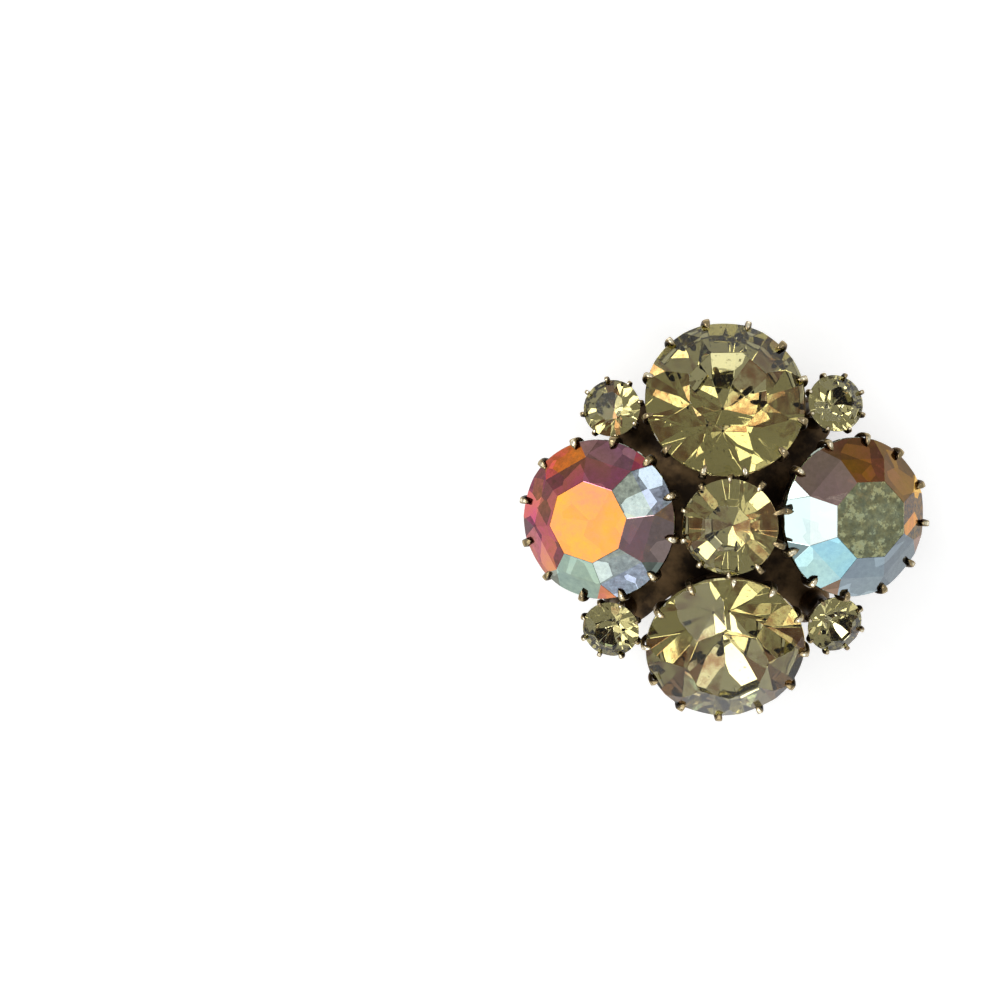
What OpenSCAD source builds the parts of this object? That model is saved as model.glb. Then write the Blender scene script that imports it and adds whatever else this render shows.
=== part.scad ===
// Cluster earring: nine foil-backed cut stones in claw cups, soldered on a
// domed back plate, with a one-piece ear clip behind.
// The front faces +Z and the ear clip's paddle rests on the plane z = 0.

/* [Stones] */
// Diameter of the four large stones
large_d = 10.8; // [10.6:0.1:10.9]
// Diameter of the raised middle stone
centre_d = 6.4; // [6.2:0.1:6.5]
// Diameter of the four small corner stones
small_d = 3.9; // [3.7:0.1:4.0]
// Width of the flat table, as a share of the stone's diameter
table_share = 0.51; // [0.46:0.01:0.56]
// Height of the crown, as a share of the stone's radius
crown_share = 0.40; // [0.34:0.01:0.42]
// Depth of the pointed back, as a share of the stone's radius
back_share = 0.79; // [0.74:0.01:0.80]

/* [Cluster] */
// Middle of the cluster to the middle of the left and right stones
side_ring = 8.6; // [8.6:0.1:8.8]
// Middle of the cluster to the middle of the top and bottom stones
upright_ring = 8.35; // [8.3:0.05:8.6]
// Middle of the cluster to the middle of a corner stone
corner_ring = 10.7; // [10.6:0.1:11.0]
// Outward lean of the large stones, in degrees
large_lean = 22; // [21:1:23]
// Outward lean of the corner stones, in degrees
corner_lean = 20; // [18:1:22]
// Sideways lean of the middle stone, in degrees
centre_lean = 13; // [0:1:14]
// Distance that the top, middle and bottom stones sit low of the side stones
column_drop = 0.25; // [0:0.05:0.3]

/* [Metal] */
// Wall of the large cups
large_wall = 0.32; // [0.28:0.02:0.34]
// Wall of the middle cup
centre_wall = 0.28; // [0.24:0.02:0.30]
// Wall of the corner cups
small_wall = 0.24; // [0.20:0.02:0.26]
// Thickness of the domed back plate
plate_wall = 0.8; // [0.6:0.1:0.9]
// Thickness of the ear clip's strip
clip_wall = 0.8; // [0.7:0.1:0.9]
// Width of the ear clip's strip
clip_w = 5; // [4:0.5:5]
// Width of the round paddle
paddle_d = 9; // [8:0.5:9]

/* [Hidden] */
$fn = 64;

// Running gap between a stone and the metal that holds it
stone_gap = 0.06;
// A cup's depth and the radius of its foot, as shares of the stone's radius
cup_share = 0.91;
foot_share = 0.58;

// Heights above the surface that the earring rests on: the back plate's rim,
// the boss for the clip, and the girdles of the stones
rim_z = 5.2;
pad_z = 6.9;
large_z = 12.05;
centre_z = large_z + 2.75;
bottom_z = large_z - 0.1;
corner_z = large_z - 1.5;

// The large stones' axes meet in the middle of the dome, and the feet of their
// cups sink a little into it
cup_sink = 0.15;
dome_z = large_z - side_ring / tan(large_lean);
plate_r = side_ring / sin(large_lean) - cup_share * large_d / 2 + cup_sink;

// The bottom stone stands a little farther out and lower than the top one
bottom_ring = upright_ring + 0.15;

// Diameter and length of the stems under the cups that stand clear of the dome
centre_stem_d = 3.4;
centre_stem_l = 3.7;
corner_stem_d = 1.8;
corner_stem_l = 2.9;

// Named columns of a seat's row
SEAT_NAME = 0;
SEAT_D = 1;
SEAT_AZIMUTH = 2;
SEAT_RING = 3;
SEAT_DROP = 4;
SEAT_Z = 5;
SEAT_LEAN = 6;
SEAT_CLAW_TURN = 7;
SEAT_STONE_TURN = 8;
SEAT_CLAWS = 9;
SEAT_WALL = 10;

// One row for each stone and its cup, set by hand and so a little uneven. The
// two turns are about the stone's own axis, from the outward direction to a
// claw and to a corner of the table.
SEATS = [
    ["stone_right", large_d, 1, side_ring, 0, large_z, large_lean, 22, 22, 12, large_wall],
    ["stone_top", large_d, 91, upright_ring, column_drop, large_z, large_lean - 1, 12, 22, 12, large_wall],
    ["stone_left", large_d, 180, side_ring, 0, large_z, large_lean, 18, 7, 12, large_wall],
    ["stone_bottom", large_d, 270, bottom_ring, column_drop, bottom_z, large_lean + 1, 27, 5, 12, large_wall],
    ["stone_centre", centre_d, 180, 0, column_drop, centre_z, centre_lean, 17, 22, 10, centre_wall],
    ["stone_top_right", small_d, 46, corner_ring + 0.1, 0, corner_z, corner_lean, 22, 0, 8, small_wall],
    ["stone_top_left", small_d, 136, corner_ring, 0, corner_z, corner_lean, 10, 30, 8, small_wall],
    ["stone_bottom_left", small_d, 225, corner_ring + 0.2, 0, corner_z, corner_lean, 22, 12, 8, small_wall],
    ["stone_bottom_right", small_d, 316, corner_ring - 0.1, 0, corner_z, corner_lean, 30, 20, 8, small_wall]
];

function seat_named(name) = [for (s = SEATS) if (s[SEAT_NAME] == name) s][0];

// Moves its children from a stone's own frame, with the girdle at z = 0 and
// the table up, to the stone's place in the cluster.
module seated(s, turn = 0) {
    translate([0, -s[SEAT_DROP], 0])
        rotate([0, 0, s[SEAT_AZIMUTH]])
            translate([s[SEAT_RING], 0, s[SEAT_Z]])
                rotate([0, s[SEAT_LEAN], 0])
                    rotate([0, 0, turn])
                        children();
}

// A cut stone has eight main facets on each side of the girdle, with a small
// three-cornered facet at the girdle between each two of them.
MAINS = 8;
MAIN_STEP = 360 / MAINS;
// Steps of the round girdle, and the half width of a three-cornered facet
GIRDLE_STEPS = 48;
GIRDLE_STEP = 360 / GIRDLE_STEPS;
CORNER_HALF = GIRDLE_STEP;
// Steps of the girdle in one main facet, and in a facet with its corner
ARC_STEPS = 4;
SPAN_STEPS = GIRDLE_STEPS / MAINS;
// Place of the small facet's tip along the ridge, as a share of the radius
tip_share = 0.80;
// Half thickness of the girdle at the middle of a main facet
girdle_share = 0.018;
// Radius of the small flat at the back's point
culet_share = 0.02;

// Half of a stone: its flat top, main facets and corner facets. r is the
// stone's radius, flat the flat's radius, and h the height above the girdle.
function slope(r, flat, h) = h / (r - flat * cos(MAIN_STEP / 2));
function main_z(r, flat, h, x) = girdle_share * r + (r - x) * slope(r, flat, h);
function edge_z(r, flat, h) = main_z(r, flat, h, r * cos(MAIN_STEP / 2 - CORNER_HALF));
function tip_z(r, flat, h) = main_z(r, flat, h, tip_share * r * cos(MAIN_STEP / 2));
function corner_slope(r, flat, h) =
    (tip_z(r, flat, h) - edge_z(r, flat, h)) / (r * cos(CORNER_HALF) - tip_share * r);

// Height of the girdle's edge at step i, where step 0 is at a ridge
function girdle_z(r, flat, h, i) =
    let (turn = (i % SPAN_STEPS) * GIRDLE_STEP,
         off = min(turn, MAIN_STEP - turn))
    off < CORNER_HALF
        ? edge_z(r, flat, h) - (cos(off) - cos(CORNER_HALF)) * r * corner_slope(r, flat, h)
        : main_z(r, flat, h, r * cos(MAIN_STEP / 2 - off));

function ring(r, count, z) =
    [for (i = [0 : count - 1]) [r * cos(i * 360 / count), r * sin(i * 360 / count), z]];

function half_points(r, flat, h, side) = concat(
    [for (p = ring(flat, MAINS, girdle_share * r + h)) [p.x, p.y, side * p.z]],
    [for (p = ring(tip_share * r, MAINS, tip_z(r, flat, h))) [p.x, p.y, side * p.z]],
    [for (i = [0 : GIRDLE_STEPS - 1])
        [r * cos(i * GIRDLE_STEP), r * sin(i * GIRDLE_STEP), side * girdle_z(r, flat, h, i)]]
);

// Faces of the upper half, clockwise from outside. The rings of points are
// the flat, the tips and the girdle, in this order.
function half_faces() =
    let (tips = MAINS, girdle = 2 * MAINS)
    concat(
        [[for (k = [MAINS - 1 : -1 : 0]) k]],
        [for (k = [0 : MAINS - 1])
            let (n = (k + 1) % MAINS, first = k * SPAN_STEPS + 1)
            concat(
                [tips + k, k, n, tips + n],
                [for (i = [ARC_STEPS : -1 : 0]) girdle + (first + i) % GIRDLE_STEPS]
            )],
        [for (k = [0 : MAINS - 1])
            concat(
                [tips + k],
                [for (i = [1 : -1 : -1])
                    girdle + (k * SPAN_STEPS + i + GIRDLE_STEPS) % GIRDLE_STEPS]
            )]
    );

function reversed(list) = [for (i = [len(list) - 1 : -1 : 0]) list[i]];

module cut_stone(d) {
    r = d / 2;
    upper = half_points(r, table_share * r, crown_share * r, 1);
    lower = half_points(r, culet_share * r, back_share * r, -1);
    count = len(upper);
    girdle = 2 * MAINS;
    polyhedron(
        points = concat(upper, lower),
        faces = concat(
            half_faces(),
            [for (f = half_faces()) [for (i = reversed(f)) i + count]],
            [for (i = [0 : GIRDLE_STEPS - 1])
                let (n = (i + 1) % GIRDLE_STEPS)
                [girdle + i, girdle + n, count + girdle + n, count + girdle + i]]
        )
    );
}

// Depth of a cup below the girdle
function cup_depth(d) = cup_share * d / 2;

// The wall of a cup with a whole lip, before the slots leave the claws. The
// seat under the girdle follows the stone's back, and the point of the stone
// stays clear of the floor.
module cup_wall(d, wall) {
    r = d / 2;
    in_r = r + stone_gap;
    out_r = in_r + wall;
    depth = cup_depth(d);
    foot_r = foot_share * r;
    floor_z = min(wall - depth, -(girdle_share + back_share) * r - stone_gap);
    // The lip bends over the girdle's edge
    edge_z = 0.055 * r;
    lip_r = 0.915 * r;
    lip_z = 0.125 * r;
    bend_r = out_r - 0.35 * wall;
    bend_z = edge_z + 0.75 * wall;
    // The seat and the shoulder of the wall below it
    seat_r = 0.86 * r;
    seat_z = -(r - seat_r) * back_share - 0.08 * r;
    shoulder_r = seat_r + 0.9 * wall;
    shoulder_z = seat_z - 0.12 * r;
    rise_z = -0.09 * r;
    under_seat_r = seat_r - 0.03 * r;
    under_seat_z = seat_z - 0.10 * r;
    rotate_extrude()
        polygon([
            [0, -depth],
            [foot_r, -depth],
            [shoulder_r, shoulder_z],
            [out_r, rise_z],
            [out_r, edge_z],
            [bend_r, bend_z],
            [lip_r + wall / 2, lip_z + wall],
            [lip_r, lip_z + 0.6 * wall],
            [lip_r, lip_z],
            [in_r, edge_z],
            [in_r, -edge_z],
            [seat_r, seat_z],
            [under_seat_r, under_seat_z],
            [foot_r - wall, floor_z],
            [0, floor_z]
        ]);
}

// One slot through both walls of a cup, which leaves half of a claw on each
// side. The claws narrow from the foot to the tip.
module claw_slot(d, claws, wall) {
    r = d / 2;
    pitch = 2 * (r + stone_gap + wall) * sin(180 / claws);
    low_z = -0.55 * cup_depth(d);
    low_w = 0.22 * pitch;
    mid_z = -0.05 * r;
    mid_w = 0.70 * pitch;
    top_z = 0.08 * r;
    top_w = 0.78 * pitch;
    rotate([90, 0, 0])
        linear_extrude(height = 3 * d, center = true)
            union() {
                polygon([
                    [-low_w / 2, low_z],
                    [low_w / 2, low_z],
                    [mid_w / 2, mid_z],
                    [top_w / 2, top_z],
                    [top_w / 2, r],
                    [-top_w / 2, r],
                    [-top_w / 2, top_z],
                    [-mid_w / 2, mid_z]
                ]);
                translate([0, low_z]) circle(d = low_w);
            }
}

module claw_cup(d, claws, wall) {
    difference() {
        cup_wall(d, wall);
        for (i = [0 : claws / 2 - 1])
            rotate([0, 0, (i + 0.5) * 360 / claws + 90])
                claw_slot(d, claws, wall);
    }
}

// The stem under a cup that stands clear of the back plate
module stem(d, stem_d, length) {
    into_cup = 0.1;
    translate([0, 0, -cup_depth(d) - length])
        cylinder(d = stem_d, h = length + into_cup);
}

// Seen from above, the back plate is a rosette with a lobe under each cup
module plate_outline() {
    hub_d = 11;
    large_lobe_d = 7;
    corner_lobe_d = 3.4;
    large_foot = plate_r * sin(large_lean);
    corner_foot = 0.83 * corner_ring;
    circle(d = hub_d);
    for (a = [0 : 90 : 270]) {
        rotate([0, 0, a]) translate([large_foot, 0]) circle(d = large_lobe_d);
        rotate([0, 0, a + 45]) translate([corner_foot, 0]) circle(d = corner_lobe_d);
        rotate([0, 0, a + 45])
            translate([0, -corner_lobe_d / 2])
                square([corner_foot, corner_lobe_d]);
    }
}

module back_plate() {
    intersection() {
        translate([0, 0, dome_z])
            difference() {
                sphere(r = plate_r);
                sphere(r = plate_r - plate_wall);
            }
        translate([0, 0, rim_z])
            linear_extrude(height = plate_r)
                plate_outline();
    }
}

// The flat boss behind the dome that the ear clip is fixed to
module clip_pad() {
    pad_d = 8.4;
    pad_top = dome_z + plate_r - 0.75 * plate_wall;
    translate([0, 0, pad_z])
        cylinder(d = pad_d, h = pad_top - pad_z);
}

module setting() {
    color([0.47, 0.34, 0.21]) union() {
        back_plate();
        clip_pad();
        for (s = SEATS)
            seated(s, s[SEAT_CLAW_TURN]) claw_cup(s[SEAT_D], s[SEAT_CLAWS], s[SEAT_WALL]);
        seated(seat_named("stone_centre"))
            stem(centre_d, centre_stem_d, centre_stem_l);
        for (s = SEATS)
            if (s[SEAT_D] == small_d) seated(s) stem(small_d, corner_stem_d, corner_stem_l);
    }
}

// A strip bent into a U, with a round leaf fixed to the pad and a broad
// paddle that lies behind the ear lobe.
module ear_clip() {
    leaf_d = 7.2;
    leaf_gap = 0.1;
    leaf_z = pad_z - leaf_gap - clip_wall;
    bend_y = -4.5;
    bend_r = (leaf_z + clip_wall) / 2;
    paddle_y = 4;
    color([0.55, 0.42, 0.26]) union() {
        translate([0, bend_y, bend_r])
            rotate([90, 0, 90])
                linear_extrude(height = clip_w, center = true)
                    difference() {
                        circle(r = bend_r);
                        circle(r = bend_r - clip_wall);
                        translate([0, -2 * bend_r]) square(4 * bend_r);
                    }
        translate([-clip_w / 2, bend_y, leaf_z])
            cube([clip_w, -bend_y, clip_wall]);
        translate([0, 0, leaf_z]) cylinder(d = leaf_d, h = clip_wall);
        linear_extrude(height = clip_wall)
            union() {
                polygon([
                    [-clip_w / 2, bend_y],
                    [clip_w / 2, bend_y],
                    [paddle_d / 2, paddle_y],
                    [-paddle_d / 2, paddle_y]
                ]);
                translate([0, paddle_y]) circle(d = paddle_d);
            }
    }
}

module pale_stone(name) {
    s = seat_named(name);
    color([0.66, 0.64, 0.38]) seated(s, s[SEAT_STONE_TURN]) cut_stone(s[SEAT_D]);
}

module rainbow_stone(name) {
    s = seat_named(name);
    color([0.72, 0.66, 0.80]) seated(s, s[SEAT_STONE_TURN]) cut_stone(s[SEAT_D]);
}

module stone_centre() { pale_stone("stone_centre"); }
module stone_top() { pale_stone("stone_top"); }
module stone_bottom() { pale_stone("stone_bottom"); }
module stone_left() { rainbow_stone("stone_left"); }
module stone_right() { rainbow_stone("stone_right"); }
module stone_top_left() { pale_stone("stone_top_left"); }
module stone_top_right() { pale_stone("stone_top_right"); }
module stone_bottom_left() { pale_stone("stone_bottom_left"); }
module stone_bottom_right() { pale_stone("stone_bottom_right"); }

setting();
ear_clip();
stone_centre();
stone_top();
stone_bottom();
stone_left();
stone_right();
stone_top_left();
stone_top_right();
stone_bottom_left();
stone_bottom_right();
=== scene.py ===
"""Looks for a cluster earring: cut stones in claw cups on a domed back plate, with an ear clip behind.

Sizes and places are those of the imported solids. Each sub-assembly's class builds its finer surfaces
and dresses them in its finish. Lengths are in millimetres until a mesh is stored.
"""

from __future__ import annotations

import logging
import math
from dataclasses import astuple, dataclass, fields
from enum import Enum
from functools import cache

import bpy
import numpy as np
from mathutils import Matrix, Vector


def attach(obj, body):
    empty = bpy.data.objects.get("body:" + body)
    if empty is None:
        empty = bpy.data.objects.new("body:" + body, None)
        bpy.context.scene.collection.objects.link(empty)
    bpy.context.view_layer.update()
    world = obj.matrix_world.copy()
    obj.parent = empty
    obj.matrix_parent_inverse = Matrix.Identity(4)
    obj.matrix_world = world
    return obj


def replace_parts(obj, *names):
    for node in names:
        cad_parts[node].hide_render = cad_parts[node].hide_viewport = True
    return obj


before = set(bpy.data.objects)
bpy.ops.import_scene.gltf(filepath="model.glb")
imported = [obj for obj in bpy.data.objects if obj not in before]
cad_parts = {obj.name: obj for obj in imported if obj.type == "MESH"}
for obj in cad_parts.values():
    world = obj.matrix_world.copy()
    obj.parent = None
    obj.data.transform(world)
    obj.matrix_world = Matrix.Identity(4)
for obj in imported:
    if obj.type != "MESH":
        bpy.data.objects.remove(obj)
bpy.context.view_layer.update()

LOG = logging.getLogger("cluster_earring")
MM = 0.001
TINY = 1e-6
X, Y, Z = 0, 1, 2
Socket = bpy.types.NodeSocket
Node = bpy.types.Node
Material = bpy.types.Material
Colour = tuple[float, float, float, float]
Point = tuple[float, float, float]
Limits = tuple[float, float]
Value = Socket | float | tuple[float, ...]


class Metal(Enum):
    """The record's material slots of the metal pieces."""

    SETTING = "tarnished_brass"
    CLIP = "clip_brass"


class Glass(Enum):
    """The record's material slots that the stones take their finish from."""

    OLIVE = "olive_glass"
    RAINBOW = "rainbow_glass"


class StoneFace(Enum):
    """The two sides of a stone, which are dressed apart."""

    CROWN = 0
    BACK = 1


# Surfaces


def turned(points: np.ndarray, degrees: float, a: int = X, b: int = Y) -> np.ndarray:
    """Turns points by an angle from axis a towards axis b, which is about Z where neither is given.

    With the angle's cosine c and sine s, a becomes c a less s b, and b becomes s a plus c b.

    Args:
        points: An array of points, three numbers each.
        degrees: The angle.
        a: The axis that the turn starts from.
        b: The axis that it goes towards.

    Returns:
        The turned points.
    """
    c, s = math.cos(math.radians(degrees)), math.sin(math.radians(degrees))
    made = points.copy()
    made[:, a] = c * points[:, a] - s * points[:, b]
    made[:, b] = s * points[:, a] + c * points[:, b]
    return made


def linked(name: str, data: bpy.types.ID) -> bpy.types.Object:
    """Makes an object of a mesh, a light or a camera, and links it to the scene.

    Args:
        name: The object's name.
        data: What it shows.

    Returns:
        The object, at the origin.
    """
    obj = bpy.data.objects.new(name, data)
    bpy.context.scene.collection.objects.link(obj)
    return obj


@dataclass
class Surface:
    """A closed surface as whole arrays: points, the corners of its faces, and how rubbed each point is."""

    points: np.ndarray
    corners: np.ndarray
    sizes: np.ndarray
    rubbed: np.ndarray

    @staticmethod
    def joined(parts: list[Surface]) -> Surface:
        """Joins surfaces into one, with each one's faces kept.

        Args:
            parts: The surfaces.

        Returns:
            One surface that holds them all.
        """
        starts = np.cumsum([0] + [len(p.points) for p in parts[:-1]])
        return Surface(
            np.concatenate([p.points for p in parts]),
            np.concatenate([p.corners + n for p, n in zip(parts, starts)]),
            np.concatenate([p.sizes for p in parts]),
            np.concatenate([p.rubbed for p in parts]),
        )

    def to_object(self, name: str) -> bpy.types.Object:
        """Stores the surface as a smooth Blender object at the origin.

        Args:
            name: The piece's name.

        Returns:
            The new object.
        """
        mesh = bpy.data.meshes.new(name)
        mesh.vertices.add(len(self.points))
        mesh.vertices.foreach_set("co", (self.points * MM).astype(np.float32).ravel())
        mesh.loops.add(len(self.corners))
        mesh.loops.foreach_set("vertex_index", self.corners.astype(np.int32))
        mesh.polygons.add(len(self.sizes))
        mesh.polygons.foreach_set("loop_start", (np.cumsum(self.sizes) - self.sizes).astype(np.int32))
        mesh.update(calc_edges=True)
        rubbed = mesh.attributes.new("rubbed", "FLOAT", "POINT")
        rubbed.data.foreach_set("value", self.rubbed.astype(np.float32))
        mesh.shade_smooth()
        return linked(name, mesh)


def fan_volume(points: np.ndarray, faces: np.ndarray) -> float:
    """Adds up six times the tetrahedra from the origin over faces that have the same number of corners.

    Args:
        points: All points.
        faces: The corners' numbers, one face a row.

    Returns:
        The sum, which is positive over a closed surface whose faces point out.
    """
    a, b, c = points[faces[:, :1]], points[faces[:, 1:-1]], points[faces[:, 2:]]
    return float((a * np.cross(b, c)).sum())


def grid_surface(grid: np.ndarray, rubbed: np.ndarray | float) -> Surface:
    """Closes a grid of points that goes round in its second direction, with its faces pointing out.

    Each cell becomes a four-cornered face, and the first and last rows are closed by one face each.

    Args:
        grid: Points in rows along a path and columns round it.
        rubbed: How rubbed each point is, in the grid's shape or one that spreads to it.

    Returns:
        The closed surface.
    """
    rows, cols = grid.shape[:2]
    points = grid.reshape(-1, 3)
    i, j = np.meshgrid(np.arange(rows - 1), np.arange(cols), indexing="ij")
    n = (j + 1) % cols
    quads = np.stack([i * cols + j, i * cols + n, (i + 1) * cols + n, (i + 1) * cols + j], -1).reshape(-1, 4)
    caps = np.stack([np.arange(cols)[::-1], (rows - 1) * cols + np.arange(cols)])
    if fan_volume(points, quads) + fan_volume(points, caps) < 0:
        quads, caps = quads[:, ::-1], caps[:, ::-1]
    return Surface(
        points,
        np.concatenate([quads.reshape(-1), caps.reshape(-1)]),
        np.array([4] * len(quads) + [cols, cols]),
        np.broadcast_to(rubbed, (rows, cols)).reshape(-1),
    )


def rounded_path(corners: list[tuple[float, float]], count: int, passes: int = 3) -> np.ndarray:
    """Rounds a path of corners and spaces points evenly along it.

    Each pass cuts every corner at a quarter and three quarters of its sides, and the result is read
    at equal steps of its length.

    Args:
        corners: The path's corners.
        count: How many points to return.
        passes: How often the corners are cut.

    Returns:
        The points, two numbers each.
    """
    p = np.array(corners, float)
    for _ in range(passes):
        q = np.empty((2 * (len(p) - 1), 2))
        q[0::2] = 0.75 * p[:-1] + 0.25 * p[1:]
        q[1::2] = 0.25 * p[:-1] + 0.75 * p[1:]
        p = np.concatenate([p[:1], q, p[-1:]])
    run = np.concatenate([[0.0], np.cumsum(np.linalg.norm(np.diff(p, axis=0), axis=1))])
    at = np.linspace(0.0, run[-1], count)
    return np.stack([np.interp(at, run, p[:, 0]), np.interp(at, run, p[:, 1])], -1)


def beside(path: np.ndarray, off: np.ndarray) -> tuple[np.ndarray, np.ndarray]:
    """Moves the points of a path sideways, square to the path.

    Args:
        path: The points, two numbers each.
        off: How far to the right, in a row of distances for each point.

    Returns:
        The moved points' first and second coordinates.
    """
    along = np.gradient(path, axis=0)
    along /= np.linalg.norm(along, axis=1, keepdims=True)
    return path[:, :1] + off * along[:, 1:], path[:, 1:] - off * along[:, :1]


def circle(steps: int) -> np.ndarray:
    """Returns the angles of equal steps round a circle."""
    return np.arange(steps) * 2 * np.pi / steps


def polar(p: np.ndarray | float, a: np.ndarray, z: np.ndarray | float) -> np.ndarray:
    """Places points by their radius p, angle a and height z, at (p cos a, p sin a, z).

    Args:
        p: The radii.
        a: The angles in radians.
        z: The heights.

    Returns:
        The points, three numbers each.
    """
    return np.stack(np.broadcast_arrays(p * np.cos(a), p * np.sin(a), z), -1)


def turned_surface(profile: np.ndarray, steps: int, rubbed: np.ndarray | float) -> Surface:
    """Turns a profile about the Z axis.

    Args:
        profile: The profile's points as radius and height, from one end on the axis to the other.
        steps: Points round the axis.
        rubbed: How rubbed the metal is, at each profile point or all over.

    Returns:
        The closed surface, with the ends closed by flat faces.
    """
    grid = polar(profile[:, :1], circle(steps), profile[:, 1:])
    return grid_surface(grid, np.reshape(rubbed, (-1, 1)))


def squared_round(count: int, power: float) -> tuple[np.ndarray, np.ndarray]:
    """A rounded square: the cosine and sine of each angle, raised to the power 2 / power, signs kept.

    Args:
        count: Points round it.
        power: Two gives a circle, and a larger number a squarer outline.

    Returns:
        The two coordinates, each from minus one to one.
    """
    c, s = np.cos(circle(count)), np.sin(circle(count))
    return np.sign(c) * np.abs(c) ** (2 / power), np.sign(s) * np.abs(s) ** (2 / power)


# Sizes of the cluster

LARGE_LEAN, CORNER_LEAN, CENTRE_LEAN = 22.0, 20.0, 13.0
SIDE_RING, UPRIGHT_RING, CORNER_RING = 8.6, 8.35, 10.7
BOTTOM_RING, COLUMN_DROP = UPRIGHT_RING + 0.15, 0.25
LARGE_Z = 12.05
CENTRE_Z, BOTTOM_Z, CORNER_Z = LARGE_Z + 2.75, LARGE_Z - 0.1, LARGE_Z - 1.5
RIM_Z, PAD_Z = 5.2, 6.9
CUP_DEPTH, FOOT, NEAR_AXIS = 0.91, 0.58, 0.001
STONE_GAP, CENTRE_BULGE = 0.06, 0.4


@dataclass(frozen=True)
class StoneSize:
    """A size of stone, with its cup's claws and wall, and the stem where the cup is raised on one."""

    diameter: float
    claws: int
    wall: float
    stem_r: float = 0.0
    stem_length: float = 0.0

    @property
    def radius(self) -> float:
        """The stone's radius."""
        return self.diameter / 2

    @property
    def claw_ring(self) -> float:
        """The radius of the ring that the claws' middle lines pass at the girdle."""
        return self.radius + STONE_GAP + self.wall / 2

    @property
    def pitch(self) -> float:
        """The distance from claw to claw along that ring."""
        return 2 * math.pi * self.claw_ring / self.claws


LARGE, MIDDLE = StoneSize(10.8, 12, 0.32), StoneSize(6.4, 10, 0.28, 1.6, 3.7)
SMALL = StoneSize(3.9, 8, 0.24, 0.9, 2.95)
DOME_Z = LARGE_Z - SIDE_RING / math.tan(math.radians(LARGE_LEAN))
PLATE_R = SIDE_RING / math.sin(math.radians(LARGE_LEAN)) - CUP_DEPTH * LARGE.radius + 0.15


@dataclass(frozen=True)
class Seat:
    """Where one stone and its cup stand in the cluster, and how each is turned about the stone's axis."""

    name: str
    size: StoneSize
    azimuth: float
    ring: float
    drop: float
    height: float
    lean: float
    claw_turn: float
    stone_turn: float

    def place(self, points: np.ndarray, turn: float = 0.0) -> np.ndarray:
        """Carries points from the stone's own frame, girdle at height nought and table up, to the cluster.

        Args:
            points: The points in the stone's frame.
            turn: A turn about the stone's axis first, in degrees.

        Returns:
            The points in the cluster's frame.
        """
        leaned = turned(turned(points, turn), self.lean, Z, X)
        return turned(leaned + (self.ring, 0.0, self.height), self.azimuth) - (0.0, self.drop, 0.0)


# Name, size, azimuth, ring, drop, height, lean, turn of the claws and turn of the stone
SEATS = (
    Seat("right", LARGE, 1, SIDE_RING, 0, LARGE_Z, LARGE_LEAN, 22, 22),
    Seat("top", LARGE, 91, UPRIGHT_RING, COLUMN_DROP, LARGE_Z, LARGE_LEAN - 1, 12, 22),
    Seat("left", LARGE, 180, SIDE_RING, 0, LARGE_Z, LARGE_LEAN, 18, 7),
    Seat("bottom", LARGE, 270, BOTTOM_RING, COLUMN_DROP, BOTTOM_Z, LARGE_LEAN + 1, 27, 5),
    Seat("centre", MIDDLE, 180, 0, COLUMN_DROP, CENTRE_Z, CENTRE_LEAN, 17, 22),
    Seat("top_right", SMALL, 46, CORNER_RING + 0.1, 0, CORNER_Z, CORNER_LEAN, 22, 0),
    Seat("top_left", SMALL, 136, CORNER_RING, 0, CORNER_Z, CORNER_LEAN, 10, 30),
    Seat("bottom_left", SMALL, 225, CORNER_RING + 0.2, 0, CORNER_Z, CORNER_LEAN, 22, 12),
    Seat("bottom_right", SMALL, 316, CORNER_RING - 0.1, 0, CORNER_Z, CORNER_LEAN, 30, 20),
)


# Node groups and finishes

BLACK, WHITE = (0.0, 0.0, 0.0, 1.0), (1.0, 1.0, 1.0, 1.0)
WAVELENGTHS = (610.0, 545.0, 460.0)


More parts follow.
